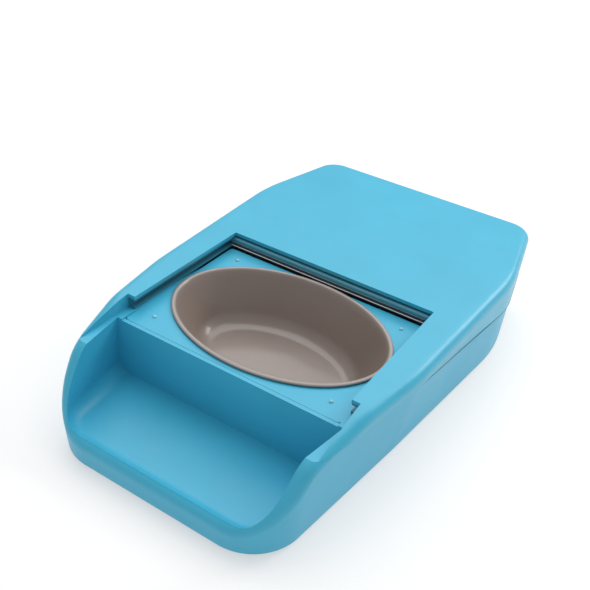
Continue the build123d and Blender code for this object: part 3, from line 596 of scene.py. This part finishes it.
class FEEDER_OT_shells(bpy.types.Operator):
    """Satin moulded finish on the base, cover and tray, a painted shadow line along their joint, their pips
    with a painted glint, and the underside
    """

    bl_idname = "feeder.shells"
    bl_label = "Shells"

    def execute(self, context):
        colours = context.scene.feeder_colours
        dress(["base_shell", "bowl_tray"], finish_material(
            "satin shell plastic", colours.shell, roughness=0.42, depth=0.10,
        ))
        dress(["top_cover"], finish_material(
            "satin cover plastic", colours.cover, roughness=0.36, depth=0.10,
        ))
        sizes = context.scene.feeder_sizes
        height = sizes.shadow_line_height / MM
        # Painted shadow: a thin dark strip along the joint, where the cover overhangs the base, stands in
        # for the shade under that overhang, thinning out towards both ends.
        piece("joint_shadow_line", shadow_line_mesh("joint_shadow_line", joint_path(), height, SHADOW_LINE_DEPTH), finish_material(
            "joint shadow", colours.seam, roughness=0.7, depth=0.05,
        ), "housing")
        radius = sizes.pip_radius / MM
        cap_height = PIP_HEIGHT + PIP_CAP_RISE
        face_z = box_mm("bowl_tray")[1][2] - PIP_HEIGHT
        # Painted highlight in part: pale glossy caps over the tray's pips, their paleness standing in for
        # glints.
        piece("tray_pips", joined("tray_pips", [
            grid_mesh("pip", dome_points(x, y, face_z, radius, cap_height), close_u=True, cap=True)
            for x, y in PIP_PLACES
        ]), finish_material("polished pip with painted glint", colours.pip, roughness=0.1, depth=0.01, spread=0.02), "tray")
        dress(["bottom_plate", "battery_door"], finish_material(
            "matt underside plastic", colours.underside, roughness=0.6, depth=0.25, spread=0.08,
        ))
        return {"FINISHED"}


class FEEDER_OT_lid(bpy.types.Operator):
    """Lid, rails and wiper finishes, a pale line along the wiper's tip as a painted highlight, and pale
    beads along the lid's front as painted highlights
    """

    bl_idname = "feeder.lid"
    bl_label = "Lid and rails"

    def execute(self, context):
        colours = context.scene.feeder_colours
        sizes = context.scene.feeder_sizes
        dress(["sliding_lid"], finish_material(
            "lid plastic", colours.lid, roughness=0.3, depth=0.06,
        ))
        rail_plastic = finish_material("rail plastic", colours.rails, roughness=0.42, depth=0.12)
        for node in ("guide_rail_left", "guide_rail_right"):
            mesh = trimmed_copy(f"{node}_run", node, STEP_Y + RAIL_SETBACK)
            rail = piece(f"{node}_run", mesh, rail_plastic, "housing")
            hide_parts(node)
        dress(["lid_wiper_seal"], finish_material(
            "wiper rubber", colours.seal, roughness=0.55, grain=900.0, depth=0.12, amount=0.03,
        ))
        # Painted highlight: a thin pale bead along the black wiper's lower front edge stands in for the
        # glint on that edge.
        pale = finish_material("wiper painted glint", colours.lip, roughness=0.35, depth=0.05, amount=0.03)
        seal_low, seal_high = box_mm("lid_wiper_seal")
        lid_low, lid_high = box_mm("sliding_lid")
        radius = sizes.wiper_glint_radius / MM
        height = seal_low[2] + radius
        piece("wiper_glint_line", bead_mesh(
            "wiper_glint_line", (seal_low[0], seal_low[1], height), (seal_high[0], seal_low[1], height), radius,
        ), pale, "lid")
        # Painted highlights: two pale beads, one round the lid's rounded top front edge and one at its lower
        # front edge above the wiper, stand in for the glints along those edges.
        radius = sizes.highlight_bead_radius / MM
        beads = (
            (lid_low[1] + LID_FRONT_ROUND * (1 - math.cos(LID_HIGHLIGHT_TURN)),
             lid_high[2] - LID_FRONT_ROUND * (1 - math.sin(LID_HIGHLIGHT_TURN))),
            (lid_low[1], seal_high[2] + 2 * radius),
        )
        piece("lid_front_highlights", joined("lid_front_highlights", [
            bead_mesh("bead", (seal_low[0], y, z), (seal_high[0], y, z), radius) for y, z in beads
        ]), finish_material("lid painted highlight", colours.lid_highlight, roughness=0.3, depth=0.05, amount=0.03), "lid")
        return {"FINISHED"}


class FEEDER_OT_bowl(bpy.types.Operator):
    """Thin bowl with a rolled rim whose top is painted paler, a painted highlight"""

    bl_idname = "feeder.bowl"
    bl_label = "Bowl"

    def execute(self, context):
        colours = context.scene.feeder_colours
        low, high = box_mm("bowl")
        plastic = finish_material(
            "bowl plastic", colours.bowl, roughness=0.32, depth=0.08, coat=0.5, coat_roughness=0.12,
        )
        # Painted highlight: the colour turns paler towards the top of the rim.
        blend_upwards(plastic, colours.bowl_rim_highlight, high[2] - BOWL_RIM_HIGHLIGHT_FADE, high[2] - BOWL_RIM_HIGHLIGHT_FADE / 3)
        bowl = piece("bowl_shell", bowl_mesh("bowl_shell", low, high), plastic, "bowl_body")
        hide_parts("bowl")
        return {"FINISHED"}


class FEEDER_OT_inner_parts(bpy.types.Operator):
    """Finishes of the drive, batteries, electronics, buttons, feet and screws"""

    bl_idname = "feeder.inner_parts"
    bl_label = "Inner parts"

    def execute(self, context):
        finishes = [
            (["lid_rack", "drive_pinion"], dict(name="acetal", rgb=(0.78, 0.77, 0.72), roughness=0.35)),
            (["mechanism_chassis"], dict(name="chassis plastic", rgb=(0.05, 0.055, 0.06), roughness=0.55)),
            (["gearbox"], dict(name="gearbox plastic", rgb=(0.02, 0.02, 0.022), roughness=0.5)),
            (["drive_motor"], dict(
                name="zinc can", rgb=(0.50, 0.50, 0.52), roughness=0.35, metallic=1.0,
                grain=900.0, depth=0.06, amount=0.12,
            )),
            (["shaft_bush"], dict(name="turned brass", rgb=(0.62, 0.42, 0.16), roughness=0.3, metallic=1.0)),
            (["output_shaft", "board_screws", "gearbox_screws", "cover_screws", "plate_screws",
              "rail_screws", "button_board_screws"], dict(
                name="plated steel", rgb=(0.55, 0.55, 0.57), roughness=0.32, metallic=1.0,
                grain=2500.0, depth=0.05, amount=0.10,
            )),
            (["battery_contacts", "battery_springs"], dict(
                name="nickel strip", rgb=(0.66, 0.64, 0.60), roughness=0.28, metallic=1.0,
            )),
            (["battery_cells"], dict(name="cell sleeve", rgb=(0.10, 0.10, 0.11), roughness=0.3, coat=0.4)),
            (["main_board", "button_board"], dict(
                name="solder mask", rgb=(0.02, 0.16, 0.07), roughness=0.28, grain=700.0, depth=0.15,
            )),
            (["board_components", "end_switch", "button_switches"], dict(
                name="moulded case", rgb=(0.02, 0.02, 0.022), roughness=0.5,
            )),
            (["reader_coil"], dict(
                name="bonded wire", rgb=(0.38, 0.14, 0.04), roughness=0.3, grain=1200.0, depth=0.5,
            )),
            (["rubber_feet"], dict(
                name="foot rubber", rgb=(0.025, 0.025, 0.027), roughness=0.75, grain=700.0, depth=0.3,
            )),
            (["learn_button", "open_button"], dict(
                name="button plastic", rgb=(0.50, 0.53, 0.56), roughness=0.45, depth=0.12,
            )),
            (["status_lens"], dict(
                name="light pipe", rgb=(0.80, 0.86, 0.86), roughness=0.15, transmission=0.6,
            )),
        ]
        for nodes, values in finishes:
            dress(nodes, finish_material(**values))
        return {"FINISHED"}


OPERATORS = (
    FEEDER_OT_stage,
    FEEDER_OT_shells,
    FEEDER_OT_lid,
    FEEDER_OT_bowl,
    FEEDER_OT_inner_parts,
)


class FEEDER_PT_panel(bpy.types.Panel):
    """Lists the steps and the settings"""

    bl_idname = "FEEDER_PT_panel"
    bl_label = "Pet Feeder"
    bl_space_type = "VIEW_3D"
    bl_region_type = "UI"
    bl_category = "Feeder"

    def draw(self, context):
        for step in OPERATORS:
            self.layout.operator(step.bl_idname, text=step.bl_label)
        for group in (context.scene.feeder_colours, context.scene.feeder_sizes, context.scene.feeder_stage):
            column = self.layout.column(align=True)
            for name in type(group).__annotations__:
                column.prop(group, name)


GROUP_CLASSES = (FeederColours, FeederSizes, StageSettings)
CLASSES = GROUP_CLASSES + OPERATORS + (FEEDER_PT_panel,)


def register():
    for item in CLASSES:
        bpy.utils.register_class(item)
    bpy.types.Scene.feeder_colours = bpy.props.PointerProperty(type=FeederColours)
    bpy.types.Scene.feeder_sizes = bpy.props.PointerProperty(type=FeederSizes)
    bpy.types.Scene.feeder_stage = bpy.props.PointerProperty(type=StageSettings)


def unregister():
    del bpy.types.Scene.feeder_stage
    del bpy.types.Scene.feeder_sizes
    del bpy.types.Scene.feeder_colours
    for item in reversed(CLASSES):
        bpy.utils.unregister_class(item)


def main():
    register()
    for step in OPERATORS:
        category, name = step.bl_idname.split(".")
        result = getattr(getattr(bpy.ops, category), name)()
        if result != {"FINISHED"}:
            raise RuntimeError(f"{step.bl_label} did not finish")


if __name__ == "__main__":
    main()
